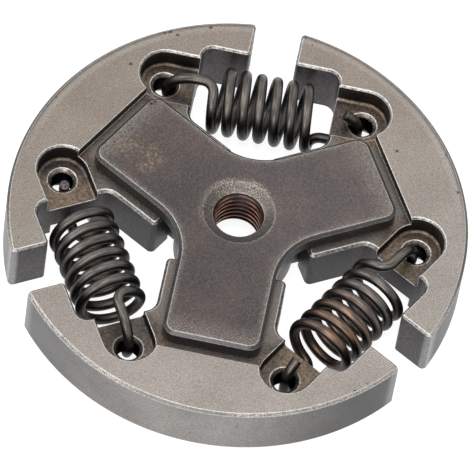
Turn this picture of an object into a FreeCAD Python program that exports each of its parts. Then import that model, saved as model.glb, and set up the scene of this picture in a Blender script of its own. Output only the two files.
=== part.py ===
import FreeCAD, Part
import math
import os

# Centrifugal clutch of a chainsaw: a threaded spider, three sliding shoes and three hooked springs.
# Millimetres. The bore is the Z axis, the flat underside is z = 0, and arm 1 points along +X.
ARM_COUNT = 3

# Friction shoes, seen along the bore
lining_radius = 33.0
lining_set_in = 0.54
shoe_height = 9.1
lining_chamfer = 0.4
gap_between_shoes = 6.6
horn_inner_edge = 27.0
horn_corner_radius = 0.5
horn_tip_bevel = 0.5
horn_tip_radius = 1.2
notch_length = 20.0
notch_corner_radius = 1.7
top_edge_chamfer = 0.3

# Ledge that the spider's plate covers, and the two legs beside the arm
ledge_depth = 1.5
ledge_edge_chamfer = 0.4
chord_distance = 23.4
leg_outer_half_width = 8.55
leg_thickness = 3.75
leg_tip_distance = 7.95
leg_tip_radius = 0.8
leg_inner_tip_radius = 0.4
leg_root_radius = 2.0

# Spring pockets at both ends of a shoe
spring_line = 21.1
hole_spacing = 28.7
hole_radius = 1.6
hole_countersink = 0.5
pocket_radius = 3.7
pocket_depth = 3.15
pocket_floor_radius = 0.5
pocket_rim_chamfer = 0.25
web_thickness = 4.05
under_pocket_radius = 2.9

# Spider
arm_half_width = 7.0
arm_length = 21.62
arm_corner_radius = 1.9
arm_fillet_radius = 8.85
plate_height = 10.05
plate_chamfer = 0.48
key_length = 19.0
key_corner_radius = 0.8
counterbore_radius = 5.2
counterbore_depth = 2.5
bore_radius = 3.6
dish_radius = 5.1
dish_depth = 0.75

# Clearances
key_clearance = 0.25
key_end_clearance = 0.3
ledge_clearance = 0.2
leg_tip_clearance = 0.8

# Hooked tension springs
wire_diameter = 1.5
coil_outer_diameter = 10.0
coil_pitch = 2.262
coil_turns = 6.5
coil_ground_clearance = 0.1
coil_line = 20.9
coil_end_bend_radius = 1.8
over_hook_radius = 4.1
over_hook_sweep = 115.0
over_hook_reach = 14.0
under_hook_radius = 1.5
under_hook_reach = 13.8
tail_bend_height = 4.9
tail_bend_radius = 3.0
tail_lengths = (1.3, 0.0, 1.3)
tail_leans = (50.0, 12.0, 50.0)
WIRE_SIDES = 8
STEPS_PER_TURN = 14
BEND_STEP = 18.0
FLOOR_CORNER_STEP = 30.0

# Sizes that follow from those above
ARM_ANGLE = 360.0 / ARM_COUNT
HALF_ANGLE = math.radians(ARM_ANGLE / 2)
ledge_level = shoe_height - ledge_depth
pocket_floor = shoe_height - pocket_depth
web_underside = pocket_floor - web_thickness
slot_half_width = leg_outer_half_width - leg_thickness
key_half_width = slot_half_width - key_clearance
slot_end = key_length + key_end_clearance
plate_underside = ledge_level + ledge_clearance
hub_radius = math.hypot(leg_tip_distance, slot_half_width) - leg_tip_clearance
hole_from_mid = hole_spacing / 2
front_from_mid = notch_length / 2
coil_radius = (coil_outer_diameter - wire_diameter) / 2
coil_level = coil_ground_clearance + coil_outer_diameter / 2
UP = FreeCAD.Vector(0, 0, 1)
ORIGIN = FreeCAD.Vector(0, 0, 0)
BEYOND = 2.0
FAR = 2 * lining_radius
SAME_LEVEL = 1e-6


def from_spring_line(across, along, side):
    """Point of the arm's frame given across a spring's line and along it, on one side of the arm."""
    u = across * math.cos(HALF_ANGLE) + along * math.sin(HALF_ANGLE)
    v = across * math.sin(HALF_ANGLE) - along * math.cos(HALF_ANGLE)
    return (u, side * v)


def rounded_face(corners):
    """Flat face at z = 0 whose corners (x, y, radius) are rounded by tangent arcs."""
    points = [FreeCAD.Vector(x, y, 0) for x, y, _ in corners]
    edges = []
    ends = []
    for i, (_, _, radius) in enumerate(corners):
        here = points[i]
        back = (points[i - 1] - here).normalize()
        ahead = (points[(i + 1) % len(points)] - here).normalize()
        half_turn = back.getAngle(ahead) / 2
        reach = radius / math.tan(half_turn)
        middle = (back + ahead).normalize() * (radius / math.sin(half_turn) - radius)
        ends.append((here + back * reach, here + middle, here + ahead * reach))
    for i, (start, middle, end) in enumerate(ends):
        if corners[i][2] > 0:
            edges.append(Part.Arc(start, middle, end).toShape())
        edges.append(Part.makeLine(end, ends[(i + 1) % len(ends)][0]))
    return Part.Face(Part.Wire(edges))


def prism(corners, bottom, top):
    """Upright block over a rounded outline."""
    face = rounded_face(corners)
    face.translate(UP * bottom)
    return face.extrude(UP * (top - bottom))


def chamfer_rim(solid, level, size):
    """Bevels every edge of a block that lies at one height."""
    rim = [e for e in solid.Edges if all(abs(v.Z - level) < SAME_LEVEL for v in e.Vertexes)]
    return solid.makeChamfer(size, rim)


def upright_face(section):
    """Face standing in the XZ plane over points (distance from the axis, height)."""
    points = [FreeCAD.Vector(distance, 0, height) for distance, height in section]
    return Part.Face(Part.makePolygon(points + points[:1]))


def turned_solid(section):
    """Solid turned about the Z axis from a half section."""
    return upright_face(section).revolve(ORIGIN, UP, 360)


def arc_points(centre, radius, first, last, step):
    """Points on an arc between two angles in degrees, evenly spaced by no more than the step."""
    count = math.ceil(abs(last - first) / step)
    angles = [math.radians(first + (last - first) * i / count) for i in range(count + 1)]
    return [(centre[0] + radius * math.cos(a), centre[1] + radius * math.sin(a)) for a in angles]


def shoe_outline():
    """Plan of a shoe without its round outer face: horn ends, notches, legs and the slot between them."""
    half_gap = gap_between_shoes / 2
    centre_along = -lining_set_in * math.sin(HALF_ANGLE)
    centre_across = -lining_set_in * math.cos(HALF_ANGLE)
    end_across = centre_across + math.sqrt(lining_radius ** 2 - (half_gap - centre_along) ** 2)
    tip_across = end_across - horn_tip_bevel
    leg_root_across = (leg_outer_half_width + front_from_mid * math.cos(HALF_ANGLE)) / math.sin(HALF_ANGLE)
    halves = []
    for side in (1, -1):
        halves.append([
            from_spring_line(tip_across + FAR, half_gap + FAR, side) + (0,),
            from_spring_line(tip_across, half_gap, side) + (horn_tip_radius,),
            from_spring_line(horn_inner_edge, half_gap, side) + (horn_corner_radius,),
            from_spring_line(horn_inner_edge, front_from_mid, side) + (notch_corner_radius,),
            from_spring_line(leg_root_across, front_from_mid, side) + (leg_root_radius,),
            (leg_tip_distance, side * leg_outer_half_width, leg_tip_radius),
            (leg_tip_distance, side * slot_half_width, leg_inner_tip_radius),
            (slot_end, side * slot_half_width, leg_inner_tip_radius),
        ])
    return halves[0] + halves[1][::-1]


def lining_disc():
    """Full disc with the bevelled outer face of the shoes, about the face's own centre."""
    bevel = lining_radius - lining_chamfer
    upper = shoe_height - lining_chamfer
    disc = turned_solid([(0, 0), (bevel, 0), (lining_radius, lining_chamfer),
                         (lining_radius, upper), (bevel, shoe_height), (0, shoe_height)])
    disc.translate(FreeCAD.Vector(-lining_set_in, 0, 0))
    return disc


def ledge_area():
    """Plan of the lowered middle of a shoe, bounded by the chord and the lines of the two springs."""
    chord_half = (spring_line - chord_distance * math.cos(HALF_ANGLE)) / math.sin(HALF_ANGLE)
    inner_u, inner_v = from_spring_line(spring_line, 0, 1)
    return [(chord_distance, -chord_half, 0), (chord_distance, chord_half, 0), (inner_u, inner_v, 0),
            (0, inner_v, 0), (0, -inner_v, 0), (inner_u, -inner_v, 0)]


def at_spring_hole(tool, side):
    """Brings a tool made about the Z axis, open towards +Y, to a spring hole, open towards the spring."""
    x, y = from_spring_line(spring_line, hole_from_mid, side)
    tool.rotate(ORIGIN, UP, side * (90 + ARM_ANGLE / 2) - 90)
    tool.translate(FreeCAD.Vector(x, y, 0))
    return tool


def slotted_tool(section, side):
    """Cutter of one half section: turned about a spring hole's axis and drawn out towards the spring."""
    mirrored = [(-distance, height) for distance, height in section[-2:0:-1]]
    drawn = upright_face(section + mirrored).extrude(FreeCAD.Vector(0, hole_from_mid, 0))
    return at_spring_hole(turned_solid(section).fuse(drawn).removeSplitter(), side)


def pocket_tool(side):
    """Spring pocket from above: rounded floor corner, upright wall and bevelled rim."""
    corner_centre = (pocket_radius - pocket_floor_radius, pocket_floor + pocket_floor_radius)
    corner = arc_points(corner_centre, pocket_floor_radius, -90, 0, FLOOR_CORNER_STEP)
    top = shoe_height + BEYOND
    rim = [(pocket_radius, shoe_height - pocket_rim_chamfer),
           (pocket_radius + pocket_rim_chamfer + BEYOND, top)]
    return slotted_tool([(0, pocket_floor)] + corner + rim + [(0, top)], side)


def under_pocket_tool(side):
    """Relief below the hook's web, open at the underside."""
    return slotted_tool([(0, -BEYOND), (under_pocket_radius, -BEYOND),
                         (under_pocket_radius, web_underside), (0, web_underside)], side)


def hole_tool(side):
    """Through hole for a hook, bevelled at both faces of the web."""
    wide = hole_radius + hole_countersink
    lower = web_underside + hole_countersink
    upper = pocket_floor - hole_countersink
    tool = turned_solid([(0, web_underside), (wide, web_underside), (hole_radius, lower),
                         (hole_radius, upper), (wide, pocket_floor), (0, pocket_floor)])
    return at_spring_hole(tool, side)


def make_shoe():
    """Shoe of the arm along +X."""
    outline = shoe_outline()
    ledge = ledge_area()
    low = chamfer_rim(prism(outline, 0, ledge_level), ledge_level, ledge_edge_chamfer)
    high = chamfer_rim(prism(outline, 0, shoe_height), shoe_height, top_edge_chamfer)
    high = high.cut(prism(ledge, 0, shoe_height))
    shoe = low.fuse(high).common(lining_disc())
    for side in (1, -1):
        for tool in (pocket_tool(side), under_pocket_tool(side), hole_tool(side)):
            shoe = shoe.cut(tool)
    return shoe.removeSplitter()


def make_spider():
    """Three-armed plate, dished round the bore, over a round hub and keys that guide the shoes."""
    corner_distance = arm_half_width / math.sin(HALF_ANGLE)
    outline = []
    for arm in range(ARM_COUNT):
        turn = FreeCAD.Rotation(UP, arm * ARM_ANGLE)
        inner = FreeCAD.Vector(math.cos(HALF_ANGLE), math.sin(HALF_ANGLE), 0) * corner_distance
        corners = [(FreeCAD.Vector(arm_length, -arm_half_width, 0), arm_corner_radius),
                   (FreeCAD.Vector(arm_length, arm_half_width, 0), arm_corner_radius),
                   (inner, arm_fillet_radius)]
        outline += [tuple(turn.multVec(p))[:2] + (radius,) for p, radius in corners]
    plate = chamfer_rim(prism(outline, plate_underside, plate_height), plate_height, plate_chamfer)
    hub = turned_solid([(0, 0), (hub_radius, 0), (hub_radius, plate_underside), (0, plate_underside)])
    key_outline = [(0, -key_half_width, 0), (key_length, -key_half_width, key_corner_radius),
                   (key_length, key_half_width, key_corner_radius), (0, key_half_width, 0)]
    key = prism(key_outline, 0, plate_underside)
    for arm in range(ARM_COUNT):
        hub = hub.fuse(turned(key, arm * ARM_ANGLE))
    bore = turned_solid([(0, 0), (counterbore_radius, 0), (counterbore_radius, counterbore_depth),
                         (bore_radius, counterbore_depth), (bore_radius, plate_height - dish_depth),
                         (dish_radius, plate_height), (0, plate_height)])
    return plate.fuse(hub).cut(bore).removeSplitter()


def coil_path():
    """Points (along, angle) on the unrolled coil, with a bend into each hook's straight run."""
    lead = coil_pitch / (2 * math.pi * coil_radius)
    slope = math.atan(lead)
    half_length = coil_pitch * coil_turns / 2
    turn = math.pi / 2 - slope
    reach = coil_end_bend_radius * math.tan(turn / 2)
    bend = arc_points((-half_length - reach, coil_end_bend_radius), coil_end_bend_radius,
                      -90, math.degrees(turn) - 90, BEND_STEP)
    first = bend[-1][1] / coil_radius
    last = 2 * math.pi * coil_turns - first
    count = math.ceil(coil_turns * STEPS_PER_TURN)
    helix = []
    for i in range(1, count):
        angle = first + (last - first) * i / count
        helix.append((-half_length + lead * coil_radius * angle, angle))
    start = [(along, arc / coil_radius) for along, arc in bend]
    end = [(-along, 2 * math.pi * coil_turns - angle) for along, angle in start[::-1]]
    return start + helix + end


def spring_path(tail_length, lean):
    """Centre line of a spring (along, outward, up): over hook, coil, under hook and tail."""
    top = coil_level + coil_radius
    bottom = coil_level - coil_radius
    over_centre = (-over_hook_reach + over_hook_radius, top - over_hook_radius)
    over = arc_points(over_centre, over_hook_radius, 90 + over_hook_sweep, 90, BEND_STEP)
    path = [FreeCAD.Vector(along, 0, up) for along, up in over]
    for along, angle in coil_path():
        outward = -coil_radius * math.sin(angle)
        path.append(FreeCAD.Vector(along, outward, coil_level + coil_radius * math.cos(angle)))
    under_centre = (under_hook_reach - under_hook_radius, bottom + under_hook_radius)
    under = arc_points(under_centre, under_hook_radius, -90, 0, BEND_STEP)
    tail_centre = (under_hook_reach - tail_bend_radius, tail_bend_height)
    tail = arc_points(tail_centre, tail_bend_radius, 0, lean, BEND_STEP)
    if tail_length > 0:
        end = tail[-1]
        tail.append((end[0] - tail_length * math.sin(math.radians(lean)),
                     end[1] + tail_length * math.cos(math.radians(lean))))
    return path + [FreeCAD.Vector(along, 0, up) for along, up in under + tail]


def make_spring(tail_length, lean):
    """Wire drawn along the centre line as a run of many-sided sections, for the gap after arm 1."""
    path = spring_path(tail_length, lean)
    last = len(path) - 1
    side = FreeCAD.Vector(0, 1, 0)
    sections = []
    for i, point in enumerate(path):
        ahead = path[min(i + 1, last)] - point
        back = point - path[max(i - 1, 0)]
        tangent = sum((v.normalize() for v in (ahead, back) if v.Length > 0), FreeCAD.Vector()).normalize()
        side = (side - tangent * side.dot(tangent)).normalize()
        other = tangent.cross(side)
        ring = []
        for k in range(WIRE_SIDES):
            a = 2 * math.pi * k / WIRE_SIDES
            ring.append(point + (side * math.cos(a) + other * math.sin(a)) * (wire_diameter / 2))
        sections.append(Part.makePolygon(ring + ring[:1]))
    spring = Part.makeLoft(sections, True, True)
    spring.rotate(ORIGIN, UP, -90)
    spring.translate(FreeCAD.Vector(coil_line, 0, 0))
    return turned(spring, ARM_ANGLE / 2)


def turned(solid, angle):
    """Copy of a solid turned about the bore."""
    copy = solid.copy()
    copy.rotate(ORIGIN, UP, angle)
    return copy


os.makedirs("parts", exist_ok=True)
pieces = {"spider": make_spider()}
shoe = make_shoe()
for arm in range(ARM_COUNT):
    number = arm + 1
    pieces[f"shoe_{number}"] = turned(shoe, arm * ARM_ANGLE)
    pieces[f"spring_{number}"] = turned(make_spring(tail_lengths[arm], tail_leans[arm]), arm * ARM_ANGLE)
for name, piece in pieces.items():
    piece.exportStep(f"parts/{name}.step")
    print(name, len(piece.Solids), "solid", piece.isValid(), round(piece.Volume, 2), piece.BoundBox)
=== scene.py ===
import math
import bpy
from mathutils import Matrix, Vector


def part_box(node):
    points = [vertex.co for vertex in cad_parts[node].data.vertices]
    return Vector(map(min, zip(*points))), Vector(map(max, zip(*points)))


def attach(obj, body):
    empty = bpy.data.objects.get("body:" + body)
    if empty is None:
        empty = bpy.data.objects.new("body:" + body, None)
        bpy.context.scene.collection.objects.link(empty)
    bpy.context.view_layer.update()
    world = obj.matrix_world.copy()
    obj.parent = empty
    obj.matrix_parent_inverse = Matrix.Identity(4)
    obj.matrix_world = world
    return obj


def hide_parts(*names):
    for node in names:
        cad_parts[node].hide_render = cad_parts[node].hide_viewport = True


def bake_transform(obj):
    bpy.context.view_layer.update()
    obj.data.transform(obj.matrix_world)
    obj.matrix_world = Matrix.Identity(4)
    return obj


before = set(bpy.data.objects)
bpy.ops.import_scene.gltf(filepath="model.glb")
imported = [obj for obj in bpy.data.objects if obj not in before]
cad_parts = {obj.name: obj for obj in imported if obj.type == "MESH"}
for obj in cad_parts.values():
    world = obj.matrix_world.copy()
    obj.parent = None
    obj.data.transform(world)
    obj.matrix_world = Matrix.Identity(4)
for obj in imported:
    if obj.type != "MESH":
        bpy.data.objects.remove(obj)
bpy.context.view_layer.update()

from types import SimpleNamespace

import bmesh
import bpy
import numpy as np
from mathutils import Matrix, Vector

# Lengths are in millimetres here and turn into metres where a mesh, finish, lamp or camera is made
MM = 0.001
ARM_COUNT = 3
ARM_TURN = 2 * math.pi / ARM_COUNT
SHOES = [f"shoe_{number}" for number in range(1, ARM_COUNT + 1)]

# Levels and places on the clutch that the finishes follow
SHOE_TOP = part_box("shoe_1")[1].z / MM
LINING_RADIUS = 33.0
LINING_SET_IN = 0.54
LINING_CHAMFER = 0.4
HALF_GAP = 3.3
HOLE_ALONG_ARM = 22.98
HOLE_BESIDE_ARM = 11.10
HOLE_RADIUS = 1.6
COUNTERSINK_RADIUS = 2.1
ARM_LENGTH = 21.62

# Directions from the bore: towards the first, painted shade darkens the linings; towards the second, the
# top's edge gets a painted pale band and dark line, and away from it the lining's edge a painted highlight
SHADED_LINING_SIDE = (0.887, -0.462, 0)
FAR_SIDE = (0.462, 0.887, 0)

# Marks on the metal, spots of painted highlight in the dish, and of a painted dark reflection in the
# thread: places (x, y) and sizes
TOP_PITS = ((0.1, 32.0), (0.9, 31.9), (6.75, 30.98), (1.74, 31.1),
            (8.2, 31.3), (-6.3, 28.3), (25.25, 3.8), (19.2, 25.7))
PIT_SIZE = 0.36
ARM_NICKS = ((-5.7, 21.0),)
NICK_SIZE = 1.0
RUST_PLACES = ((-10.8, 14.6), (-9.4, 12.4))
RUST_SIZE = 3.6
# Spots at the back of the dish where rubbed specks and painted highlights gather
DISH_RUBS_AND_HIGHLIGHTS = ((-0.4, 4.8), (4.0, 3.0))
DISH_RUB_AND_HIGHLIGHT_SIZE = 2.6
# Spot of a painted dark reflection on the thread
THREAD_DARK_BAND_PLACES = ((1.5, 3.2),)
THREAD_DARK_BAND_SIZE = 2.0

# Sizes of the noises that colour the metal
SHOE_PATCHES = 7.0
PLATE_PATCHES = 9.0
RUST_PATCHES = 6.0
WIRE_PATCHES = 2.4
THREAD_PATCHES = 1.4
SCATTERED_PITS = 0.8
SPECKLE = 0.45
GRAIN = 0.16
WIRE_MARKS = 0.22
TORN_GRAIN = 0.25

# Share to which lengths along the wire shrink for its marks, so that these come out long
WIRE_MARK_SHRINK = 0.08

# Levels between which a noise mostly lies
NOISE_LOW = 0.3
NOISE_HIGH = 0.7

# Depths of the fine relief
SHOE_RELIEF = 0.016
PLATE_RELIEF = 0.018
WIRE_RELIEF = 0.004
THREAD_RELIEF = 0.006
TORN_RELIEF = 0.05

# Colours of the shoes
# Tops: darker and browner to the far side, paler to the near side, as painted shade and light
TOP_SHADED_BROWN = (0.246, 0.211, 0.182)
TOP_LIT_PALE = (0.306, 0.277, 0.250)
# Painted highlight band and painted shade line along the top's far edge
TOP_FAR_HIGHLIGHT_BAND = (0.400, 0.370, 0.345)
TOP_FAR_SHADE_LINE = (0.085, 0.080, 0.080)
# Ledges painted darker as shade
LEDGE_SHADED_GREY = (0.128, 0.112, 0.100)
UNDERSIDE_GREY = (0.235, 0.212, 0.190)
# Lining: paler middle as polish and painted reflection, darker ends as painted shade
LINING_DULL_AND_SHADED = (0.132, 0.129, 0.130)
LINING_POLISHED_AND_LIT = (0.270, 0.254, 0.242)
# Painted highlight at the lining's rounded ends
LINING_END_HIGHLIGHT = (0.285, 0.282, 0.290)
# Lining edge: painted shade on the far side, painted highlight on the near side
LINING_EDGE_SHADE = (0.105, 0.100, 0.095)
LINING_EDGE_HIGHLIGHT = (0.330, 0.310, 0.288)
# Inner walls: darker towards the hub as painted shade
INNER_WALL_SHADED = (0.058, 0.055, 0.058)
INNER_WALL_LIT = (0.088, 0.080, 0.081)
POCKET_DARK = (0.075, 0.062, 0.056)
POCKET_BROWN = (0.150, 0.112, 0.080)
# Painted shade on the pocket walls
POCKET_WALL_SHADE = (0.034, 0.030, 0.029)
# Painted shade in the spring hole: dark wall and dimmed reflection
HOLE_WALL_SHADE = (0.020, 0.018, 0.017)
HOLE_SHADED_SHEEN = (0.25, 0.25, 0.27)
FULL_SHEEN = (1, 1, 1)
COUNTERSINK_PALE = (0.380, 0.335, 0.290)
# Painted shade in sheltered corners
SHOE_CORNER_SHADE = (0.020, 0.018, 0.018)
PIT_BLACK = (0.03, 0.027, 0.026)
# Edges paled by wear and by painted highlights
SHOE_WORN_EDGE_GLINT = (0.78, 0.76, 0.73)

# Colours of the spider
PLATE_GREY = (0.084, 0.074, 0.073)
PLATE_BROWN = (0.109, 0.089, 0.085)
PLATE_RUBBED = (0.300, 0.268, 0.238)
# Pale grain with painted glints
PLATE_GRAIN_GLINT = (0.30, 0.27, 0.24)
# Edges paled by wear and by painted highlights
PLATE_WORN_EDGE_GLINT = (0.54, 0.51, 0.48)
RUST_STAIN = (0.122, 0.096, 0.078)
RUST_SPECK = (0.270, 0.205, 0.155)
# Painted highlights in the dish, at its edge and at the bore's rim
DISH_RUBBED_HIGHLIGHT = (0.440, 0.370, 0.305)
DISH_RING_HIGHLIGHT = (0.300, 0.275, 0.250)
BORE_RIM_HIGHLIGHT = (0.420, 0.370, 0.330)
NICK_BLACK = (0.014, 0.012, 0.011)
SPIDER_WALL_DARK = (0.064, 0.060, 0.062)
SPIDER_WALL_PALE = (0.106, 0.098, 0.097)
SPIDER_UNDERSIDE = (0.110, 0.098, 0.090)
# Painted shade in sheltered corners
SPIDER_CORNER_SHADE = (0.018, 0.016, 0.015)

# Colours of the wire and of the thread
WIRE_GREY = (0.126, 0.112, 0.102)
WIRE_COPPER = (0.180, 0.112, 0.081)
# Black scale, used with painted shade at the wire's sides and below
WIRE_SCALE_SHADE = (0.022, 0.020, 0.020)
TORN_DARK = (0.045, 0.036, 0.045)
TORN_PALE = (0.200, 0.165, 0.180)
# Thread: painted shade in the grooves, painted highlights on the crests
THREAD_GROOVE_SHADE = (0.092, 0.056, 0.049)
THREAD_DULL = (0.330, 0.190, 0.145)
THREAD_CREST_HIGHLIGHT = (0.880, 0.570, 0.430)
# Painted dark reflection on the thread
THREAD_DARK_REFLECTION = (0.040, 0.034, 0.038)
THREAD_MOUTH = (0.045, 0.030, 0.025)

# Spring wire and its centre line
WIRE_RADIUS = 0.75
COIL_RADIUS = 4.25
COIL_LEVEL = 5.1
COIL_PITCH = 2.262
COIL_TURNS = 6.5
COIL_LINE = 20.9
COIL_END_BEND = 1.8
OVER_HOOK_RADIUS = 4.1
OVER_HOOK_SWEEP = 115.0
OVER_HOOK_REACH = 14.0
UNDER_HOOK_RADIUS = 1.5
UNDER_HOOK_REACH = 13.8
TAIL_BEND_HEIGHT = 4.9
TAIL_BEND_RADIUS = 3.0
TAIL_LENGTHS = (1.3, 0.0, 1.3)
TAIL_LEANS = (50.0, 12.0, 50.0)
WIRE_SIDES = 20
STEPS_PER_TURN = 44
BEND_STEPS = 14
CUT_END_BEVEL = 0.10
CUT_END_SLANT = 0.20

# Weight that picks, of the turns near the coil's middle, the point nearest to the middle of the wire
CENTRE_WEIGHT = 0.01

# Bore, dish and thread
BORE_RADIUS = 3.6
DISH_RADIUS = 5.1
THREAD_PITCH = 1.0
THREAD_CREST = 3.3
THREAD_BOTTOM = 2.5
THREAD_TOP = 9.29
THREAD_LEAD_IN = 0.4
THREAD_CREST_FLAT = 1.15
THREAD_WALL_GAP = 0.01
THREAD_COLUMNS = 120
THREAD_ROWS = 200

# Neighbouring faces nearer than the first angle are one flat; beyond the second they meet in an edge
FLAT_ANGLE = math.radians(0.3)
SHARP_ANGLE = math.radians(34)

# Points this near to each other are merged; points this near to a radius lie on its ring
MERGE_DISTANCE = 0.0005
RING_TOLERANCE = 0.005

# How edges and corners show: rounding of the shading, reach of shelter, width of the plate's rubbed rim
EDGE_ROUNDING = 0.20
SHELTER_REACH = 1.6
PLATE_RIM = 1.4
BEVEL_SAMPLES = 6
SHELTER_SAMPLES = 8

# Upward part of the normal from which a face starts to count as level, and where it fully does
LEVEL_START = 0.75
LEVEL_FULL = 0.97

# Photograph's view: a long lens aimed near the middle of the clutch
IMAGE_SIDE = 470
FOCAL_PIXELS = 6500.0
SENSOR = 36.0
CAMERA_TILT = math.radians(57.89)
CAMERA_ROLL = math.radians(-9.47)
CAMERA_TURN = math.radians(27.52)
CAMERA_DISTANCE = 912.4
CAMERA_AIM_HEIGHT = 9.1
CAMERA_SLIDE = (0.491, 2.714)
CAMERA_CLIP_METRES = 10

# Studio: lamps as name, bearing and height in degrees, width, depth and power in watts
SOFTBOX_REACH = 520.0
SOFTBOXES = (("back_softbox", 62.0, 60.0, 420.0, 420.0, 0.28),
             ("top_softbox", 242.0, 76.0, 200.0, 200.0, 0.6),
             ("left_softbox", 150.0, 42.0, 220.0, 220.0, 0.6),
             ("front_softbox", 228.0, 32.0, 260.0, 160.0, 0.8))
WORLD_LIGHT = 0.45
FLOOR_REACH = 1500.0
FLOOR_LEVEL = -0.02
FLOOR_GREY = (0.40, 0.40, 0.40, 1)
FLOOR_GLOW = 0.90
WHITE = (1, 1, 1, 1)


def surface_piece(name, points, faces, smooth=True):
    """Mesh object at the origin from points in millimetres and a list of faces."""
    mesh = bpy.data.meshes.new(name)
    mesh.from_pydata((points * MM).tolist(), [], faces.tolist() if hasattr(faces, "tolist") else faces)
    mesh.polygons.foreach_set("use_smooth", np.full(len(mesh.polygons), smooth))
    mesh.update()
    piece = bpy.data.objects.new(name, mesh)
    bpy.context.scene.collection.objects.link(piece)
    return piece


def ring_faces(rows, columns):
    """Quads between neighbouring rings of a tube whose columns close on themselves."""
    row, column = np.meshgrid(np.arange(rows - 1), np.arange(columns), indexing="ij")
    ahead = (column + 1) % columns
    this_ring = row * columns
    next_ring = this_ring + columns
    quads = [this_ring + column, this_ring + ahead, next_ring + ahead, next_ring + column]
    return np.stack(quads, axis=-1).reshape(-1, 4)


def arc(centre, radius, first, last, steps=BEND_STEPS):
    """Points on a circle between two angles in degrees: centre plus radius times cosine and sine."""
    angle = np.radians(np.linspace(first, last, steps + 1))
    return np.stack([centre[0] + radius * np.cos(angle), centre[1] + radius * np.sin(angle)], axis=1)


def coil_line():
    """Unrolled coil (along, angle): a straight slope of one pitch a turn, rounded at both ends.

    The rounding is an arc that turns the slope into a run along the coil's axis.
    """
    slope = math.atan2(COIL_PITCH, 2 * math.pi * COIL_RADIUS)
    half_length = COIL_PITCH * COIL_TURNS / 2
    turn = math.pi / 2 - slope
    reach = COIL_END_BEND * math.tan(turn / 2)
    bend = arc((-half_length - reach, COIL_END_BEND), COIL_END_BEND, -90, math.degrees(turn) - 90)
    start = np.stack([bend[:, 0], bend[:, 1] / COIL_RADIUS], axis=1)
    whole = 2 * math.pi * COIL_TURNS
    end = np.stack([-start[::-1, 0], whole - start[::-1, 1]], axis=1)
    angle = np.linspace(start[-1, 1], end[0, 1], int(COIL_TURNS * STEPS_PER_TURN) + 1)[1:-1]
    helix = np.stack([-half_length + COIL_PITCH * angle / (2 * math.pi), angle], axis=1)
    return np.concatenate([start, helix, end])


def spring_frame(tail_length, tail_lean):
    """Centre line (along, outward, up) and a direction square to it at each point.

    Hooks are arcs in the upright plane of the coil's axis; the coil turns about that axis. Square to the
    line is the direction away from the coil's axis on the coil, and in a hook the same direction carried
    round the arc.
    """
    top = COIL_LEVEL + COIL_RADIUS
    bottom = COIL_LEVEL - COIL_RADIUS
    over_centre = (-OVER_HOOK_REACH + OVER_HOOK_RADIUS, top - OVER_HOOK_RADIUS)
    over = arc(over_centre, OVER_HOOK_RADIUS, 90 + OVER_HOOK_SWEEP, 90)
    under_centre = (UNDER_HOOK_REACH - UNDER_HOOK_RADIUS, bottom + UNDER_HOOK_RADIUS)
    under = arc(under_centre, UNDER_HOOK_RADIUS, -90, 0)
    tail = arc((UNDER_HOOK_REACH - TAIL_BEND_RADIUS, TAIL_BEND_HEIGHT), TAIL_BEND_RADIUS, 0, tail_lean)
    lean = math.radians(tail_lean)
    tip = tail[-1:] + tail_length * np.array([[-math.sin(lean), math.cos(lean)]])
    lower = np.concatenate([under, tail, tip] if tail_length > 0 else [under, tail])
    coil = coil_line()
    along, angle = coil[:, 0], coil[:, 1]
    away = np.stack([np.zeros_like(angle), -np.sin(angle), np.cos(angle)], axis=1)
    axis_points = np.stack([along, np.zeros_like(along), np.full_like(along, COIL_LEVEL)], axis=1)
    flat = [np.stack([hook[:, 0], np.zeros(len(hook)), hook[:, 1]], axis=1) for hook in (over, lower)]
    line = np.concatenate([flat[0], axis_points + COIL_RADIUS * away, flat[1]])
    run = np.gradient(line, axis=0)
    run /= np.linalg.norm(run, axis=1, keepdims=True)
    in_plane = np.stack([-run[:, 2], np.zeros(len(line)), run[:, 0]], axis=1)
    square = in_plane.copy()
    square[len(over):len(over) + len(coil)] = away
    square[len(over) + len(coil):] *= -1
    square -= run * np.sum(run * square, axis=1, keepdims=True)
    square /= np.linalg.norm(square, axis=1, keepdims=True)
    return line, run, square


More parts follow.
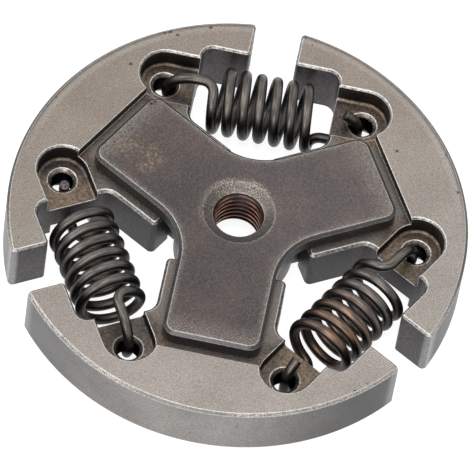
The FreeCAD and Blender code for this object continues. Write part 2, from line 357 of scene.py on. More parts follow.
def wire_half(line, run, square, length, cut_first):
    """Round wire: rings of one radius carried along the line, closed at both ends.

    The cut end comes last. One ring stands a bevel's width before it with the full radius, the last ring is
    smaller by that width, and both lean by a cosine of the angle round the wire, as a sheared end does. The
    second result is where each point would lie if the wire were straight.
    """
    if cut_first:
        line, run, square, length = line[::-1], -run[::-1], square[::-1], length[::-1]
    step = np.linalg.norm(np.diff(line, axis=0), axis=1)
    to_cut = np.concatenate([np.cumsum(step[::-1])[::-1], [0]])
    keep = to_cut > 3 * CUT_END_BEVEL
    order = np.concatenate([np.flatnonzero(keep), [len(line) - 1, len(line) - 1]])
    line, run, square, length = line[order].copy(), run[order], square[order], length[order]
    line[-2] -= run[-1] * CUT_END_BEVEL
    radius = np.full(len(line), WIRE_RADIUS)
    radius[-1] -= CUT_END_BEVEL
    lean = np.zeros(len(line))
    lean[-2:] = CUT_END_SLANT
    turn = np.linspace(0, 2 * math.pi, WIRE_SIDES, endpoint=False)[None, :, None]
    side = np.cross(run, square)
    spoke = np.cos(turn) * square[:, None] + np.sin(turn) * side[:, None]
    slant = np.cos(turn) * run[:, None] * (lean * radius)[:, None, None]
    rings = line[:, None] + spoke * radius[:, None, None] + slant
    points = np.concatenate([rings.reshape(-1, 3), line[:1], line[-1:]])
    hand = -1 if cut_first else 1
    section = np.stack([0 * turn, np.cos(turn), hand * np.sin(turn)], axis=-1)[..., 0, :]
    section = section * radius[:, None, None]
    middle = np.stack([length, 0 * length, 0 * length], axis=1)
    straight = np.concatenate([(middle[:, None] + section).reshape(-1, 3), middle[:1], middle[-1:]])
    column = np.arange(WIRE_SIDES)
    ahead = (column + 1) % WIRE_SIDES
    base = (len(line) - 1) * WIRE_SIDES
    front = np.stack([np.full(WIRE_SIDES, len(points) - 2), ahead, column], axis=1)
    back = np.stack([np.full(WIRE_SIDES, len(points) - 1), base + column, base + ahead], axis=1)
    sides = ring_faces(len(line), WIRE_SIDES)
    return points, straight, sides.tolist() + front.tolist() + back.tolist()


def to_row_frame(points, number):
    """Turns (along, outward, up) of a spring into the clutch's frame, midway between two arms."""
    angle = ARM_TURN * (number - 0.5)
    outward = np.array([math.cos(angle), math.sin(angle), 0])
    along = np.array([math.sin(angle), -math.cos(angle), 0])
    return (points[:, :1] * along + (points[:, 1:2] + COIL_LINE) * outward
            + points[:, 2:] * np.array([0, 0, 1]))


def make_spring(number, material, cut_material):
    """Hooked spring in two halves that meet in the middle of the coil, each running from its shoe."""
    line, run, square = spring_frame(TAIL_LENGTHS[number - 1], TAIL_LEANS[number - 1])
    length = np.concatenate([[0], np.cumsum(np.linalg.norm(np.diff(line, axis=0), axis=1))])
    from_centre = np.abs(np.arange(len(line)) - len(line) / 2)
    middle = int(np.argmin(np.abs(line[:, 0]) + from_centre * CENTRE_WEIGHT))
    half_coil = COIL_PITCH * COIL_TURNS / 2
    axis_ends = np.array([[-half_coil, 0, COIL_LEVEL], [0, 0, COIL_LEVEL], [half_coil, 0, COIL_LEVEL]])
    ends = to_row_frame(axis_ends, number) * MM
    next_shoe = number % ARM_COUNT + 1
    halves = ((f"spring_{number}_over_half", slice(0, middle + 1), True, next_shoe, ends[0]),
              (f"spring_{number}_under_half", slice(middle, None), False, number, ends[2]))
    for name, part, cut_first, shoe, start in halves:
        points, straight, faces = wire_half(line[part], run[part], square[part], length[part], cut_first)
        half = surface_piece(name, to_row_frame(points, number), faces)
        drawn = half.data.attributes.new("straight_wire", "FLOAT_VECTOR", "POINT")
        drawn.data.foreach_set("vector", (straight * MM).ravel())
        half.data.set_sharp_from_angle(angle=SHARP_ANGLE)
        half.data.materials.append(material)
        half.data.materials.append(cut_material)
        face = np.arange(len(half.data.polygons))
        on_cut_end = face >= len(face) - WIRE_SIDES
        half.data.polygons.foreach_set("material_index", on_cut_end.astype(np.int32))
        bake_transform(half)
        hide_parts(f"spring_{number}")


def make_thread(material):
    """Thread as a sleeve in the bore: its radius falls from the wall by a pointed wave.

    The wave follows the height and the turn, and fades in over the lead-in at the top and over half a pitch
    at the bottom.
    """
    angle = np.linspace(0, 2 * math.pi, THREAD_COLUMNS, endpoint=False)[None, :]
    height = np.linspace(THREAD_BOTTOM, THREAD_TOP, THREAD_ROWS)[:, None]
    phase = height / THREAD_PITCH + angle / (2 * math.pi)
    ridge = np.clip(THREAD_CREST_FLAT * (1 - 2 * np.abs(phase - np.round(phase))), 0, 1)
    fade = np.clip((THREAD_TOP - height) / THREAD_LEAD_IN, 0, 1)
    fade = fade * np.clip((height - THREAD_BOTTOM) / (0.5 * THREAD_PITCH), 0, 1)
    wall = BORE_RADIUS - THREAD_WALL_GAP
    radius = wall - (wall - THREAD_CREST) * ridge * fade
    points = np.stack([radius * np.cos(angle), radius * np.sin(angle), height + 0 * angle], axis=-1)
    faces = ring_faces(THREAD_ROWS, THREAD_COLUMNS)[:, ::-1]
    thread = surface_piece("bore_thread", points.reshape(-1, 3), faces)
    thread.data.materials.append(material)
    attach(thread, "spider")


def sharpen_ring(mesh, radius):
    """Marks the edges that run round the bore at one radius as sharp."""
    points = np.empty(3 * len(mesh.vertices))
    mesh.vertices.foreach_get("co", points)
    pairs = np.empty(2 * len(mesh.edges), dtype=np.int32)
    mesh.edges.foreach_get("vertices", pairs)
    sharp = np.empty(len(mesh.edges), dtype=bool)
    mesh.edges.foreach_get("use_edge_sharp", sharp)
    x, y, _ = points.reshape(-1, 3).T
    on_ring = np.abs(np.hypot(x, y) - radius * MM) < RING_TOLERANCE * MM
    mesh.edges.foreach_set("use_edge_sharp", sharp | on_ring[pairs.reshape(-1, 2)].all(axis=1))


def smooth_copy(node, body, material):
    """Merged copy of a CAD node, shaded smooth between its true edges, in place of the node."""
    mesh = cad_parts[node].data.copy()
    work = bmesh.new()
    work.from_mesh(mesh)
    bmesh.ops.remove_doubles(work, verts=work.verts, dist=MERGE_DISTANCE * MM)
    bmesh.ops.dissolve_limit(work, angle_limit=FLAT_ANGLE, verts=work.verts, edges=work.edges)
    for edge in work.edges:
        edge.smooth = edge.calc_face_angle(math.pi) < SHARP_ANGLE
    work.to_mesh(mesh)
    work.free()
    mesh.polygons.foreach_set("use_smooth", np.full(len(mesh.polygons), True))
    sharpen_ring(mesh, DISH_RADIUS)
    mesh.materials.clear()
    mesh.materials.append(material)
    piece = bpy.data.objects.new(f"{node}_finished", mesh)
    bpy.context.scene.collection.objects.link(piece)
    weighted = piece.modifiers.new("even_faces", "WEIGHTED_NORMAL")
    weighted.keep_sharp = True
    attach(piece, body)
    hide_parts(node)


def add(tree, kind, inputs=(), **settings):
    """New shader node; inputs maps a socket's name or number to a value or to another node's output."""
    node = tree.nodes.new(kind)
    for name, value in settings.items():
        setattr(node, name, value)
    for key, value in dict(inputs).items():
        if isinstance(value, bpy.types.NodeSocket):
            tree.links.new(value, node.inputs[key])
        else:
            node.inputs[key].default_value = value
    return node


def calc(tree, operation, *values):
    """Output of a Math node."""
    return add(tree, "ShaderNodeMath", dict(enumerate(values)), operation=operation).outputs[0]


def product(tree, *values):
    """Values multiplied together."""
    total = values[0]
    for value in values[1:]:
        total = calc(tree, "MULTIPLY", total, value)
    return total


def ramp(tree, value, low, high, to_low=0.0, to_high=1.0):
    """Smooth step of a value from one level to another."""
    inputs = {"Value": value, "From Min": low, "From Max": high, "To Min": to_low, "To Max": to_high}
    return add(tree, "ShaderNodeMapRange", inputs, interpolation_type="SMOOTHSTEP").outputs[0]


def vary(tree, value, low, high):
    """Number that the middle range of a noise moves from one level to another."""
    return ramp(tree, value, NOISE_LOW, NOISE_HIGH, low, high)


def blend_colour(tree, share, first, second, mode="MIX"):
    """Output of a colour mix: share 0 gives the first colour, 1 the second."""
    node = tree.nodes.new("ShaderNodeMix")
    node.data_type = "RGBA"
    node.blend_type = mode
    for index, value in ((0, share), (6, first), (7, second)):
        if isinstance(value, bpy.types.NodeSocket):
            tree.links.new(value, node.inputs[index])
        else:
            node.inputs[index].default_value = value if index == 0 else (*value, 1)
    return node.outputs[2]


def noise(tree, place, size, detail=2.0, roughness=0.55):
    """Noise of a given grain size in millimetres, from 0 to 1."""
    inputs = {"Vector": place, "Scale": 1 / (size * MM), "Detail": detail, "Roughness": roughness}
    return add(tree, "ShaderNodeTexNoise", inputs).outputs["Fac"]


def new_finish(name):
    """Empty material with its shader, and the piece's own coordinates and normal."""
    material = bpy.data.materials.new(name)
    material.use_nodes = True
    tree = material.node_tree
    shader = tree.nodes["Principled BSDF"]
    source = add(tree, "ShaderNodeTexCoord")
    return material, tree, shader, source.outputs["Object"], source.outputs["Normal"]


def arm_places(tree, place):
    """Distances along the nearest arm and beside it, height and radius, from the angle about the bore."""
    x, y, height = add(tree, "ShaderNodeSeparateXYZ", {0: place}).outputs
    angle = calc(tree, "ARCTAN2", y, x)
    nearest = product(tree, calc(tree, "ROUND", calc(tree, "DIVIDE", angle, ARM_TURN)), ARM_TURN)
    turned = calc(tree, "SUBTRACT", angle, nearest)
    radius = distance(tree, x, y)
    along = product(tree, radius, calc(tree, "COSINE", turned))
    beside = calc(tree, "ABSOLUTE", product(tree, radius, calc(tree, "SINE", turned)))
    return along, beside, height, radius


def dot(tree, place, direction):
    """Distance of a place along a direction."""
    inputs = {0: place, 1: direction}
    return add(tree, "ShaderNodeVectorMath", inputs, operation="DOT_PRODUCT").outputs["Value"]


def distance(tree, *differences):
    """Length of a vector given by its parts."""
    squares = [product(tree, part, part) for part in differences]
    total = squares[0]
    for square in squares[1:]:
        total = calc(tree, "ADD", total, square)
    return calc(tree, "SQRT", total)


def plain_normal(tree):
    """Normal of the mesh as it is shaded."""
    return add(tree, "ShaderNodeNewGeometry").outputs["Normal"]


def edge_and_corner(tree):
    """Normal over softly rounded edges, share of an outer edge, and share of a sheltered inner corner."""
    rounded = add(tree, "ShaderNodeBevel", {"Radius": EDGE_ROUNDING * MM}, samples=BEVEL_SAMPLES).outputs[0]
    alike = dot(tree, rounded, plain_normal(tree))
    shelter = {"Distance": SHELTER_REACH * MM}
    open_air = add(tree, "ShaderNodeAmbientOcclusion", shelter, samples=SHELTER_SAMPLES).outputs["AO"]
    edge = product(tree, ramp(tree, alike, 0.9985, 0.970), ramp(tree, open_air, 0.42, 0.62))
    return rounded, edge, calc(tree, "SUBTRACT", 1.0, open_air)


def steel_surface(tree, place, normal, patch_size):
    """Where a point lies on the clutch, how it faces, and the edges and noises that its finish follows."""
    along, beside, height, radius = arm_places(tree, place)
    x, y, _ = add(tree, "ShaderNodeSeparateXYZ", {0: place}).outputs
    rounded, edge, corner = edge_and_corner(tree)
    return SimpleNamespace(
        place=place, x=x, y=y, along=along, beside=beside, height=height, radius=radius,
        upward=add(tree, "ShaderNodeSeparateXYZ", {0: normal}).outputs[2],
        rounded=rounded, edge=edge, corner=corner,
        patches=noise(tree, place, patch_size, 3.0),
        speckle=noise(tree, place, SPECKLE, 3.0, 0.65),
        grain=noise(tree, place, GRAIN, 2.0, 0.6))


def facing_up(tree, at):
    """1 on a level face that looks up, falling to 0 towards the walls."""
    return ramp(tree, at.upward, LEVEL_START, LEVEL_FULL)


def facing_down(tree, at):
    """1 on a level face that looks down, falling to 0 towards the walls."""
    return ramp(tree, at.upward, -LEVEL_START, -LEVEL_FULL)


def finish_metal(tree, shader, colour, roughness, relief, depth, normal):
    """Connects colour and roughness, and a relief of the given depth in millimetres over the normal."""
    inputs = {"Height": relief, "Distance": depth * MM, "Strength": 1.0, "Normal": normal}
    bump = add(tree, "ShaderNodeBump", inputs)
    tree.links.new(colour, shader.inputs["Base Color"])
    tree.links.new(roughness, shader.inputs["Roughness"])
    tree.links.new(bump.outputs[0], shader.inputs["Normal"])
    shader.inputs["Metallic"].default_value = 1.0


def spots(tree, place, places, size):
    """Share of being inside one of some round marks at places (x, y), of a size in millimetres."""
    along_x, along_y, _ = add(tree, "ShaderNodeSeparateXYZ", {0: place}).outputs
    share = None
    for x, y in places:
        away = distance(tree, calc(tree, "SUBTRACT", along_x, x * MM),
                        calc(tree, "SUBTRACT", along_y, y * MM))
        inside = ramp(tree, away, size * MM, 0.4 * size * MM)
        share = inside if share is None else calc(tree, "MAXIMUM", share, inside)
    return share


def times_grey(tree, colour, grey):
    """Colour multiplied by a plain number."""
    same = add(tree, "ShaderNodeCombineXYZ", {0: grey, 1: grey, 2: grey})
    return blend_colour(tree, 1.0, colour, same.outputs[0], "MULTIPLY")


def between(tree, value, low, rise, fall, high):
    """Share that climbs from low to rise and drops again from fall to high."""
    return product(tree, ramp(tree, value, low, rise), ramp(tree, value, high, fall))


def shoe_top(tree, at, below_top):
    """Grainy top: painted shade makes it darker and browner to the far side and darker on the ledges, with
    a painted highlight band and a painted shade line at its far edge.
    """
    # Painted shade: darker and browner towards the far side
    colour = blend_colour(tree, ramp(tree, at.y, 30 * MM, -26 * MM), TOP_SHADED_BROWN, TOP_LIT_PALE)
    colour = times_grey(tree, colour, vary(tree, at.patches, 0.93, 1.06))
    # Painted shade on the ledges below the top
    colour = blend_colour(tree, product(tree, below_top, 0.8), colour, LEDGE_SHADED_GREY)
    from_middle = distance(tree, calc(tree, "ADD", at.along, LINING_SET_IN * MM), at.beside)
    far = ramp(tree, dot(tree, at.place, FAR_SIDE), 2 * MM, 14 * MM, 0.0, 0.75)
    edge = (LINING_RADIUS - LINING_CHAMFER) * MM
    band = between(tree, from_middle, edge - 1.5 * MM, edge - 0.9 * MM, edge - 0.6 * MM, edge - 0.4 * MM)
    # Painted highlight as a pale band, and painted shade as a dark line, along the far edge
    colour = blend_colour(tree, product(tree, band, far, 0.4), colour, TOP_FAR_HIGHLIGHT_BAND)
    line = ramp(tree, from_middle, edge - 0.40 * MM, edge - 0.15 * MM)
    return blend_colour(tree, product(tree, line, far), colour, TOP_FAR_SHADE_LINE)


def shoe_lining(tree, at, bevel):
    """Smooth grey lining: paler in its middle as polish and as painted reflection, darkened to one side by
    painted shade, with a painted highlight at its rounded ends.

    Its bevelled edge has painted shade on the far side, and a painted highlight on the near side away from
    the middle.
    """
    # Paler in the middle of each lining: polish and painted reflection
    colour = blend_colour(tree, ramp(tree, at.beside, 26 * MM, 5 * MM), LINING_DULL_AND_SHADED, LINING_POLISHED_AND_LIT)
    colour = times_grey(tree, colour, vary(tree, at.patches, 0.88, 1.08))
    # Painted shade darkens the lining towards one side
    toward_shaded_side = dot(tree, at.place, SHADED_LINING_SIDE)
    colour = times_grey(tree, colour, ramp(tree, toward_shaded_side, 4 * MM, 20 * MM, 1.0, 0.62))
    from_gap = calc(tree, "SUBTRACT", product(tree, at.along, math.sin(ARM_TURN / 2)),
                    product(tree, at.beside, math.cos(ARM_TURN / 2)))
    # Painted highlight in a pale band at each rounded end of the lining
    end_highlight = ramp(tree, from_gap, (HALF_GAP + 2.4) * MM, (HALF_GAP + 0.8) * MM, 0.0, 0.8)
    colour = blend_colour(tree, end_highlight, colour, LINING_END_HIGHLIGHT)
    # Painted highlight on the near side of the lining's edge, painted shade on the far side
    paler_tone = times_grey(tree, LINING_EDGE_HIGHLIGHT, ramp(tree, at.grain, 0.32, 0.68, 0.55, 1.45))
    off_middle = calc(tree, "ABSOLUTE", calc(tree, "ADD", toward_shaded_side, 4 * MM))
    off_middle = ramp(tree, off_middle, 4 * MM, 11 * MM, 0.2, 1.0)
    near = ramp(tree, dot(tree, at.place, FAR_SIDE), -2 * MM, -14 * MM)
    edge = blend_colour(tree, product(tree, near, off_middle), LINING_EDGE_SHADE, paler_tone)
    return blend_colour(tree, bevel, colour, edge)


def shoe_inner_wall(tree, at):
    """Dark speckled walls between the shoes and round the spider, with painted shade that makes them darker
    towards the hub.
    """
    # Painted shade: darker towards the hub
    outwards = ramp(tree, at.radius, 13 * MM, 25 * MM)
    colour = blend_colour(tree, outwards, INNER_WALL_SHADED, INNER_WALL_LIT)
    return times_grey(tree, colour, vary(tree, at.speckle, 0.80, 1.20))


def shoe_pocket(tree, at):
    """Heat-tinted spring pocket: speckled brown floor, and walls darkened by painted shade."""
    colour = blend_colour(tree, ramp(tree, at.patches, 0.35, 0.65), POCKET_DARK, POCKET_BROWN)
    colour = times_grey(tree, colour, vary(tree, at.speckle, 0.65, 1.45))
    # Painted shade on the pocket walls
    return blend_colour(tree, ramp(tree, at.upward, 0.6, 0.2), colour, POCKET_WALL_SHADE)


def shoe_pits(tree, at):
    """Share of dark pits: scattered ones near the lining, and single ones at their places on the top."""
    scattered = product(tree, ramp(tree, noise(tree, at.place, SCATTERED_PITS, 1.0), 0.73, 0.79),
                        ramp(tree, at.radius, 29 * MM, 32 * MM))
    near_top = ramp(tree, at.height, (SHOE_TOP - 1.1) * MM, (SHOE_TOP - 0.5) * MM)
    ragged = ramp(tree, at.grain, 0.30, 0.50, 0.5, 1.0)
    single = product(tree, spots(tree, at.place, TOP_PITS, PIT_SIZE), near_top, ragged)
    return calc(tree, "MAXIMUM", scattered, single)


def shoe_finish():
    """Pale sintered steel: grainy top, smooth grey lining, heat tints in the pockets; painted shade darkens
    the inner walls, pocket walls, holes and corners, and edges are paled by wear and by painted highlights.
    """
    material, tree, shader, place, normal = new_finish("sintered_shoe_steel")
    at = steel_surface(tree, place, normal, SHOE_PATCHES)
    bevel = between(tree, at.upward, 0.25, 0.55, 0.85, LEVEL_FULL)
    below_top = ramp(tree, at.height, (SHOE_TOP - 0.5) * MM, (SHOE_TOP - 1.4) * MM)
    on_lining = ramp(tree, at.radius, (LINING_RADIUS - 1.6) * MM, (LINING_RADIUS - 1.1) * MM)
    walls = blend_colour(tree, on_lining, shoe_inner_wall(tree, at), shoe_lining(tree, at, bevel))
    colour = blend_colour(tree, facing_up(tree, at), walls, shoe_top(tree, at, below_top))
    underside = times_grey(tree, UNDERSIDE_GREY, vary(tree, at.patches, 0.85, 1.10))
    colour = blend_colour(tree, facing_down(tree, at), colour, underside)
    to_hole = distance(tree, calc(tree, "SUBTRACT", at.along, HOLE_ALONG_ARM * MM),
                       calc(tree, "SUBTRACT", at.beside, HOLE_BESIDE_ARM * MM))
    above_underside = ramp(tree, at.height, 0.6 * MM, 2.0 * MM)
    pocket = product(tree, ramp(tree, to_hole, 6.2 * MM, 4.4 * MM), below_top, above_underside)
    colour = blend_colour(tree, product(tree, pocket, 0.88), colour, shoe_pocket(tree, at))
    # Painted shade on the hole's wall
    in_hole = ramp(tree, to_hole, (HOLE_RADIUS + 0.10) * MM, (HOLE_RADIUS + 0.02) * MM)
    colour = blend_colour(tree, in_hole, colour, HOLE_WALL_SHADE)
    # Painted shade in sheltered corners
    corner_shade = product(tree, ramp(tree, at.corner, 0.30, 0.85), 0.85)
    colour = blend_colour(tree, corner_shade, colour, SHOE_CORNER_SHADE)
    ring = between(tree, to_hole, (HOLE_RADIUS + 0.06) * MM, (HOLE_RADIUS + 0.16) * MM,
                   COUNTERSINK_RADIUS * MM, (COUNTERSINK_RADIUS + 0.25) * MM)
    ring = product(tree, ring, pocket, ramp(tree, at.speckle, 0.36, 0.60, 0.12, 0.85))
    colour = blend_colour(tree, ring, colour, COUNTERSINK_PALE)
    shade = calc(tree, "ADD", vary(tree, at.grain, 0.64, 1.30), vary(tree, at.speckle, -0.06, 0.06))
    colour = times_grey(tree, colour, shade)
    colour = blend_colour(tree, product(tree, shoe_pits(tree, at), 0.8), colour, PIT_BLACK)
    # Edges and bevels paled by wear and by painted highlights
    elsewhere = calc(tree, "SUBTRACT", 1.0, calc(tree, "MAXIMUM", pocket, on_lining))
    worn_bevel_glint = product(tree, bevel, elsewhere, ramp(tree, at.speckle, 0.32, 0.62, 0.06, 0.36))
    worn_glint = calc(tree, "MAXIMUM", at.edge, worn_bevel_glint)
    worn_glint = product(tree, worn_glint, ramp(tree, on_lining, 0.0, 1.0, 1.0, 0.62),
                   ramp(tree, at.speckle, 0.25, 0.60, 0.55, 1.0))
    colour = blend_colour(tree, worn_glint, colour, SHOE_WORN_EDGE_GLINT)
    # Painted shade: the reflection dimmed inside the hole
    sheen_with_hole_shade = blend_colour(tree, in_hole, FULL_SHEEN, HOLE_SHADED_SHEEN)
    tree.links.new(sheen_with_hole_shade, shader.inputs["Specular Tint"])
    roughness = ramp(tree, at.grain, 0.25, 0.75, 0.36, 0.50)
    finish_metal(tree, shader, colour, roughness, at.grain, SHOE_RELIEF, at.rounded)
    return material


def dish_marks(tree, at, colour):
    """Colour with painted highlights: specks at the back of the dish from rubbing and painted highlight, an
    uneven pale ring at its edge, and a pale rim at the bore.
    """
    in_dish = between(tree, at.radius, (BORE_RADIUS - 0.1) * MM, (BORE_RADIUS + 0.1) * MM,
                      (DISH_RADIUS + 0.2) * MM, (DISH_RADIUS + 1.0) * MM)
    # Rubbed specks and painted highlight at the back of the dish
    gathered = calc(tree, "MAXIMUM", spots(tree, at.place, DISH_RUBS_AND_HIGHLIGHTS, DISH_RUB_AND_HIGHLIGHT_SIZE), 0.35)
    behind = ramp(tree, at.y, -3 * MM, 4 * MM)
    specks = product(tree, in_dish, gathered, behind, ramp(tree, at.grain, 0.44, 0.62), 0.75)
    colour = blend_colour(tree, specks, colour, DISH_RUBBED_HIGHLIGHT)
    # Painted highlight: uneven pale ring at the dish's edge
    uneven = calc(tree, "ADD", at.radius, ramp(tree, at.speckle, 0.2, 0.8, -0.14 * MM, 0.14 * MM))
    ring = between(tree, uneven, (DISH_RADIUS - 0.16) * MM, (DISH_RADIUS - 0.05) * MM,
                   (DISH_RADIUS + 0.05) * MM, (DISH_RADIUS + 0.16) * MM)
    ring = product(tree, ring, ramp(tree, at.x, -5 * MM, 4 * MM, 0.20, 0.65),
                   ramp(tree, at.speckle, 0.36, 0.60, 0.30, 1.0))
    colour = blend_colour(tree, ring, colour, DISH_RING_HIGHLIGHT)
    # Painted highlight on the bore's rim
    rim = between(tree, at.radius, (BORE_RADIUS - 0.04) * MM, BORE_RADIUS * MM,
                  (BORE_RADIUS + 0.05) * MM, (BORE_RADIUS + 0.14) * MM)
    rim = product(tree, rim, ramp(tree, at.x, -2 * MM, 2 * MM, 0.15, 0.75))
    return blend_colour(tree, rim, colour, BORE_RIM_HIGHLIGHT)


def plate_face(tree, at, rim):
    """Top of the plate: patchy grey-brown, paler to one side as painted light, with rust, a rubbed rim and
    a nick.
    """
    colour = blend_colour(tree, ramp(tree, at.patches, 0.35, 0.65), PLATE_GREY, PLATE_BROWN)
    # Painted light: the plate's top paler towards +x and darker towards -x
    colour = times_grey(tree, colour, ramp(tree, at.x, -12 * MM, 14 * MM, 0.87, 1.14))
    stained = product(tree, spots(tree, at.place, RUST_PLACES, RUST_SIZE),
                      ramp(tree, noise(tree, at.place, RUST_PATCHES, 2.0), 0.3, 0.6))
    colour = blend_colour(tree, product(tree, stained, 0.55), colour, RUST_STAIN)
    specks = product(tree, stained, ramp(tree, at.speckle, 0.48, 0.62), 0.5)
    colour = blend_colour(tree, specks, colour, RUST_SPECK)
    paler_tone = product(tree, rim, ramp(tree, at.grain, 0.38, 0.62, 0.25, 1.0), 0.6)
    colour = blend_colour(tree, paler_tone, colour, PLATE_RUBBED)
    colour = dish_marks(tree, at, colour)
    nick = product(tree, spots(tree, at.place, ARM_NICKS, NICK_SIZE),
                   ramp(tree, at.speckle, 0.44, 0.52), 0.9)
    return blend_colour(tree, nick, colour, NICK_BLACK)


def spider_finish():
    """Dark grey-brown steel: fine pale grain with painted glints, rusty specks in patches, painted shade in
    corners, and outer edges paled by wear and by painted highlights.
    """
    material, tree, shader, place, normal = new_finish("dark_spider_steel")
    at = steel_surface(tree, place, normal, PLATE_PATCHES)
    inward = {"Distance": PLATE_RIM * MM}
    solid = add(tree, "ShaderNodeAmbientOcclusion", inward, samples=SHELTER_SAMPLES, inside=True)
    within = solid.outputs["AO"]
    arm_end = product(tree, ramp(tree, at.along, (ARM_LENGTH - 4.5) * MM, ARM_LENGTH * MM), 0.8)
    rim = calc(tree, "MAXIMUM", arm_end, ramp(tree, within, 0.98, 0.70))
    wall = blend_colour(tree, at.patches, SPIDER_WALL_DARK, SPIDER_WALL_PALE)
    colour = blend_colour(tree, facing_up(tree, at), wall, plate_face(tree, at, rim))
    colour = blend_colour(tree, facing_down(tree, at), colour, SPIDER_UNDERSIDE)
    # Painted shade in sheltered corners
    corner_shade = product(tree, ramp(tree, at.corner, 0.40, 0.95), 0.6)
    colour = blend_colour(tree, corner_shade, colour, SPIDER_CORNER_SHADE)
    shade = calc(tree, "ADD", vary(tree, at.grain, 0.68, 1.28), vary(tree, at.speckle, -0.11, 0.11))
    colour = times_grey(tree, colour, shade)
    # Pale grain with painted glints, most near the rim
    grain_glints = product(tree, ramp(tree, at.grain, 0.58, 0.72), ramp(tree, rim, 0.0, 1.0, 0.30, 0.75),
                     ramp(tree, at.upward, LEVEL_START, LEVEL_FULL, 0.15, 1.0))
    colour = blend_colour(tree, grain_glints, colour, PLATE_GRAIN_GLINT)
    # Edges paled by wear and by painted highlights
    away_from_bore = ramp(tree, at.radius, 6.2 * MM, 7.4 * MM, 0.25, 0.8)
    worn_glint = product(tree, at.edge, away_from_bore, ramp(tree, at.speckle, 0.25, 0.60, 0.5, 1.0))
    colour = blend_colour(tree, worn_glint, colour, PLATE_WORN_EDGE_GLINT)
    roughness = ramp(tree, at.grain, 0.25, 0.75, 0.34, 0.5)
    finish_metal(tree, shader, colour, roughness, at.grain, PLATE_RELIEF, at.rounded)
    return material


def spring_finish(name, number, tint):
    """Oil-tempered wire: grey-brown above and black scale at the sides and below, the split by facing being
    painted light and shade, with fine drawing marks.

    The tint takes the turns towards the end where the wire hooks under.
    """
    material, tree, shader, place, normal = new_finish(name)
    patches = noise(tree, place, WIRE_PATCHES, 3.0)
    straight = add(tree, "ShaderNodeAttribute", attribute_name="straight_wire").outputs["Vector"]
    stretch = {0: straight, 1: (WIRE_MARK_SHRINK, 1, 1)}
    drawn = add(tree, "ShaderNodeVectorMath", stretch, operation="MULTIPLY").outputs["Vector"]
    marks = noise(tree, drawn, WIRE_MARKS, 3.0, 0.6)
    angle = ARM_TURN * (number - 0.5)
    along = dot(tree, place, (math.sin(angle), -math.cos(angle), 0))
    tinted = product(tree, between(tree, along, -4 * MM, 5 * MM, 8 * MM, 10 * MM),
                     ramp(tree, patches, 0.30, 0.60, 0.35, 1.0))
    paler_tone = blend_colour(tree, tinted, WIRE_GREY, tint)
    upward = add(tree, "ShaderNodeSeparateXYZ", {0: normal}).outputs[2]
    # Painted light and shade: paler where the wire faces up, black at its sides and below
    share = product(tree, ramp(tree, upward, -0.20, 0.90), ramp(tree, patches, 0.30, 0.65, 0.60, 1.0))
    colour = blend_colour(tree, share, WIRE_SCALE_SHADE, paler_tone)
    colour = times_grey(tree, colour, ramp(tree, marks, 0.32, 0.68, 0.62, 1.42))
    roughness = vary(tree, marks, 0.34, 0.44)
    finish_metal(tree, shader, colour, roughness, marks, WIRE_RELIEF, plain_normal(tree))
    return material


def cut_finish():
    """Sheared wire end: dull steel with a violet heat tint and torn grain."""
    material, tree, shader, place, _ = new_finish("sheared_wire_end")
    torn = noise(tree, place, TORN_GRAIN, 3.0, 0.65)
    colour = blend_colour(tree, ramp(tree, torn, 0.35, 0.65), TORN_DARK, TORN_PALE)
    roughness = vary(tree, torn, 0.40, 0.60)
    finish_metal(tree, shader, colour, roughness, torn, TORN_RELIEF, plain_normal(tree))
    return material


def thread_finish():
    """Oiled steel in the bore: painted shade in the grooves, thin coppery painted highlights on the crests
    of the thread, and a band of painted dark reflection.
    """
    material, tree, shader, place, _ = new_finish("oiled_thread_steel")
    _, _, height, radius = arm_places(tree, place)
    patches = noise(tree, place, THREAD_PATCHES, 3.0)
    # Painted shade in the grooves and painted highlights on the crests
    crest = ramp(tree, radius, (THREAD_CREST + 0.09) * MM, (THREAD_CREST + 0.01) * MM)
    crest_highlight = blend_colour(tree, ramp(tree, patches, 0.35, 0.65), THREAD_DULL, THREAD_CREST_HIGHLIGHT)
    colour = blend_colour(tree, crest, THREAD_GROOVE_SHADE, crest_highlight)
    # Painted dark reflection in one band of the thread
    dark_band = product(tree, spots(tree, place, THREAD_DARK_BAND_PLACES, THREAD_DARK_BAND_SIZE),
                   ramp(tree, patches, 0.25, 0.55, 0.45, 0.75))
    colour = blend_colour(tree, dark_band, colour, THREAD_DARK_REFLECTION)
    mouth = ramp(tree, height, (THREAD_TOP - 0.8) * MM, (THREAD_TOP - 0.2) * MM, 0.0, 0.6)
    colour = blend_colour(tree, mouth, colour, THREAD_MOUTH)
    roughness = vary(tree, patches, 0.26, 0.4)
    finish_metal(tree, shader, colour, roughness, patches, THREAD_RELIEF, plain_normal(tree))
    return material


def seen_directly(tree):
    """1 for rays from the camera, by reflection or through glass, and 0 for plain light."""
    path = add(tree, "ShaderNodeLightPath")
    mirrored = calc(tree, "MAXIMUM", path.outputs["Is Glossy Ray"], path.outputs["Is Transmission Ray"])
    return calc(tree, "MAXIMUM", path.outputs["Is Camera Ray"], mirrored)


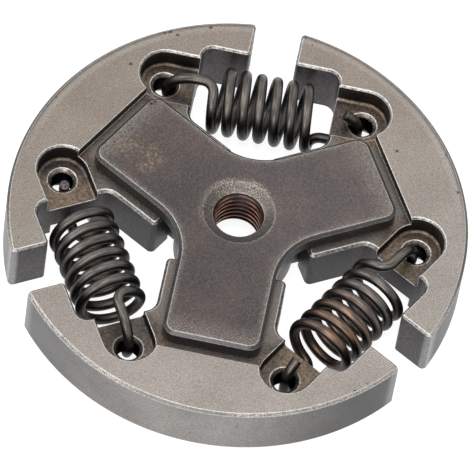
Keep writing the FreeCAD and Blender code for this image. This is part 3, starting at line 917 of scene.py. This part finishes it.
def make_floor():
    """Pale floor under the clutch: mostly a white of its own where it is seen, the rest lit.

    The lit part keeps the clutch's shadow.
    """
    corners = np.array([[-1, -1], [1, -1], [1, 1], [-1, 1]]) * FLOOR_REACH
    points = np.column_stack([corners, np.full(len(corners), FLOOR_LEVEL)])
    floor = surface_piece("floor", points, [[0, 1, 2, 3]], smooth=False)
    material = bpy.data.materials.new("pale_floor")
    material.use_nodes = True
    tree = material.node_tree
    tree.nodes.remove(tree.nodes["Principled BSDF"])
    diffuse = add(tree, "ShaderNodeBsdfDiffuse", {"Color": FLOOR_GREY})
    glow_strength = product(tree, seen_directly(tree), FLOOR_GLOW)
    glow = add(tree, "ShaderNodeEmission", {"Color": WHITE, "Strength": glow_strength})
    both = add(tree, "ShaderNodeAddShader", {0: diffuse.outputs[0], 1: glow.outputs[0]})
    tree.links.new(both.outputs[0], tree.nodes["Material Output"].inputs["Surface"])
    floor.data.materials.append(material)


def make_world():
    """Even studio surround: white where it is seen, a plain grey as light."""
    world = bpy.data.worlds.new("studio")
    bpy.context.scene.world = world
    world.use_nodes = True
    tree = world.node_tree
    strength = ramp(tree, seen_directly(tree), 0, 1, WORLD_LIGHT, 1.0)
    tree.links.new(strength, tree.nodes["Background"].inputs["Strength"])
    tree.nodes["Background"].inputs["Color"].default_value = WHITE


def make_softbox(name, azimuth, elevation, width, depth, power):
    """Rectangular lamp at a bearing and height about the clutch, in degrees, facing its middle."""
    lamp = bpy.data.lights.new(name, "AREA")
    lamp.shape = "RECTANGLE"
    lamp.size = width * MM
    lamp.size_y = depth * MM
    lamp.energy = power
    box = bpy.data.objects.new(name, lamp)
    bearing = math.radians(azimuth)
    rise = math.radians(elevation)
    level = Vector((math.cos(bearing), math.sin(bearing), 0))
    direction = level * math.cos(rise) + Vector((0, 0, math.sin(rise)))
    box.location = direction * SOFTBOX_REACH * MM
    box.rotation_euler = direction.to_track_quat("Z", "Y").to_euler()
    bpy.context.scene.collection.objects.link(box)


def make_camera():
    """Camera at the photograph's bearing, height and roll, slid to place the clutch in the frame."""
    right = Vector((math.cos(CAMERA_TURN), -math.sin(CAMERA_TURN), 0))
    ahead = Vector((math.sin(CAMERA_TURN), math.cos(CAMERA_TURN), 0))
    up = ahead * math.sin(CAMERA_TILT) + Vector((0, 0, math.cos(CAMERA_TILT)))
    look = ahead * math.cos(CAMERA_TILT) - Vector((0, 0, math.sin(CAMERA_TILT)))
    image_right = right * math.cos(CAMERA_ROLL) - up * math.sin(CAMERA_ROLL)
    image_up = right * math.sin(CAMERA_ROLL) + up * math.cos(CAMERA_ROLL)
    aim = Vector((0, 0, CAMERA_AIM_HEIGHT))
    place = aim - look * CAMERA_DISTANCE - image_right * CAMERA_SLIDE[0] - image_up * CAMERA_SLIDE[1]
    data = bpy.data.cameras.new("camera")
    data.sensor_width = SENSOR
    data.lens = FOCAL_PIXELS / IMAGE_SIDE * SENSOR
    data.clip_end = CAMERA_CLIP_METRES
    camera = bpy.data.objects.new("camera", data)
    axes = Matrix((image_right, image_up, -look)).transposed()
    camera.matrix_world = Matrix.Translation(place * MM) @ axes.to_4x4()
    bpy.context.scene.collection.objects.link(camera)
    bpy.context.scene.camera = camera


shoe_steel = shoe_finish()
for shoe in SHOES:
    smooth_copy(shoe, shoe, shoe_steel)
smooth_copy("spider", "spider", spider_finish())
make_thread(thread_finish())
cut_end = cut_finish()
for number, tint in ((1, WIRE_GREY), (2, WIRE_GREY), (3, WIRE_COPPER)):
    make_spring(number, spring_finish(f"tempered_wire_{number}", number, tint), cut_end)
make_floor()
make_world()
for softbox in SOFTBOXES:
    make_softbox(*softbox)
make_camera()
bpy.context.scene.view_settings.view_transform = "Standard"
